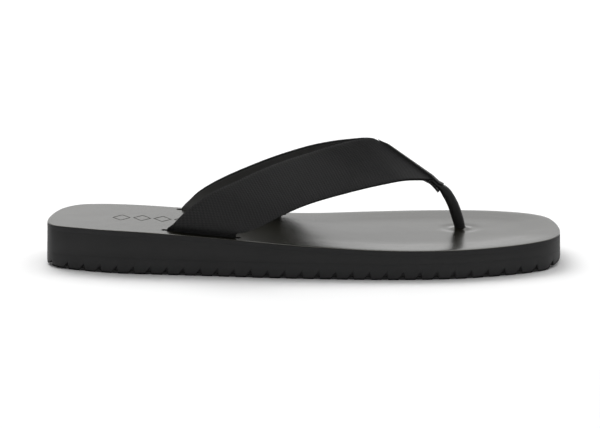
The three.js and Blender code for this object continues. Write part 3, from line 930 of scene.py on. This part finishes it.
def build_world():
    """Soft studio light: brighter from behind, with a haze that dims low above the horizon."""
    world = bpy.data.worlds.new("studio")
    world.use_nodes = True
    coordinates = node(world, "ShaderNodeTexCoord")
    split = node(world, "ShaderNodeSeparateXYZ")
    link(world, coordinates.outputs["Generated"], split.inputs[0])
    ramp = node(world, "ShaderNodeMapRange", interpolation_type="SMOOTHSTEP")
    for socket, value in (("From Min", -0.05), ("From Max", 0.5), ("To Min", 0.52), ("To Max", 2)):
        ramp.inputs[socket].default_value = value
    link(world, split.outputs["Y"], ramp.inputs["Value"])
    haze = node(world, "ShaderNodeValToRGB")
    levels = ((0, 0.95), (0.1, 0.68), (0.2, 0.51), (0.4, 0.5), (0.75, 1))
    while len(haze.color_ramp.elements) < len(levels):
        haze.color_ramp.elements.new(0.5)
    for element, (place, level) in zip(haze.color_ramp.elements, levels):
        element.position = place
        element.color = (*grey(level), 1)
    link(world, split.outputs["Z"], haze.inputs["Fac"])
    strength = math_node(world, "MULTIPLY", ramp.outputs["Result"], haze.outputs["Color"])
    background = world.node_tree.nodes["Background"]
    link(world, strength, background.inputs["Strength"])
    background.inputs["Color"].default_value = (*grey(1), 1)
    bpy.context.scene.world = world


def build_light(name, location, size, energy):
    """A round soft box that faces the sandal."""
    data = bpy.data.lights.new(name, "AREA")
    data.shape = "DISK"
    data.size = size
    data.energy = energy
    obj = bpy.data.objects.new(name, data)
    obj.location = location
    obj.rotation_euler = (-Vector(location)).to_track_quat("-Z", "Y").to_euler()
    bpy.context.scene.collection.objects.link(obj)


def build_camera():
    data = bpy.data.cameras.new("camera")
    data.lens = CAMERA_LENS
    data.sensor_width = 36
    data.clip_end = 50
    obj = bpy.data.objects.new("camera", data)
    elevation = math.radians(CAMERA_ELEVATION)
    stand = Vector((0, -math.cos(elevation), math.sin(elevation))) * CAMERA_DISTANCE
    obj.location = Vector((0, CAMERA_AIM.y, 0)) + stand
    obj.rotation_euler = (CAMERA_AIM - obj.location).to_track_quat("-Z", "Y").to_euler()
    bpy.context.scene.collection.objects.link(obj)
    bpy.context.scene.camera = obj


# ---- Assembly ----
def build_pieces():
    """Each finished piece with its materials, its slot and the CAD nodes it replaces."""
    leather = leather_material()
    webbing = webbing_material()
    lining = cloth_material("strap_lining_black", (0.075, 0.075, 0.073), (0.1, 0.1, 0.0975),
                            0.75, 0.2, 1800, 0.00005, 120)
    leather_edge = cloth_material("leather_edge_black", grey(0.017, 0.0005), grey(0.024, 0.0005),
                                  0.62, 0.2, 1400, 0.00005, 110)
    # Painted shade: the strap edges are darker than the webbing, to dim the rim that catches the key light.
    strap_edge_painted_shade = cloth_material("strap_edge_black", grey(0.012), grey(0.017), 0.9, 0.05, 2000, 0.00004, 130)
    trim = trim_material()
    outsole = rubber_material("outsole_rubber_black", grey(0.018, 0.0005), grey(0.026, 0.0005), 1500, 0.6)
    midsole = rubber_material("midsole_foam_black", grey(0.016, 0.0003), grey(0.0225, 0.0003), 2400, 0.62)
    pieces = [
        (build_outsole(), [outsole], "outsole_rubber", "outsole"),
        (build_midsole(), [midsole], "midsole_foam", "midsole"),
        (build_footbed_leather(), [leather, leather_edge], "footbed_leather", "footbed_leather"),
    ]
    for build, looks, slot in (
        (build_webbing, [webbing, strap_edge_painted_shade], "strap_webbing"),
        (build_lining, [lining, strap_edge_painted_shade], "strap_lining"),
    ):
        for side in STRAPS:
            pieces.append((build(side), looks, slot, slot + "_" + side))
    pieces += [
        (build_overlay(), [trim], "trim_leather", "ridge_overlay"),
        (build_backing(), [trim], "trim_leather", "junction_backing"),
        (build_post(), [trim], "trim_leather", "toe_post_sleeve"),
    ]
    return pieces


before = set(bpy.data.objects)
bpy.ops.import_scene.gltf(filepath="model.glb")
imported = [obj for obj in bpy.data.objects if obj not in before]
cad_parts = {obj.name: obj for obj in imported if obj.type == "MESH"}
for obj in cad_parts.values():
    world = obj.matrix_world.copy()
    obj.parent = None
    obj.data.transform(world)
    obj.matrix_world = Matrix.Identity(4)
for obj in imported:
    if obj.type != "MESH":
        bpy.data.objects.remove(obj)
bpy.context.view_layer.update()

build_camera()
build_world()
build_floor()
build_light("key", (-0.5, 1.1, 1.5), 1.4, 17)
build_light("fill", (0.9, -0.7, 1.5), 1.4, 1.5)

for piece, looks, slot, node_name in build_pieces():
    dress(piece, *looks)
    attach(piece, "root")
    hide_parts(node_name)

for node_name, look in (
    ("insole_board", inner_material("board_fibre_brown", (0.12, 0.08, 0.05), (0.2, 0.14, 0.09), 900, 0.8)),
    ("footbed_cushion", inner_material("cushion_foam_black", grey(0.02), grey(0.035), 1600, 0.85)),
    ("toe_post_core", inner_material("post_cord_black", grey(0.02), grey(0.04), 2200, 0.7)),
    ("toe_post_anchor", inner_material("anchor_plastic_black", grey(0.015), grey(0.025), 700, 0.5)),
):
    dress_node(node_name, look)

bpy.context.scene.view_settings.view_transform = "Standard"
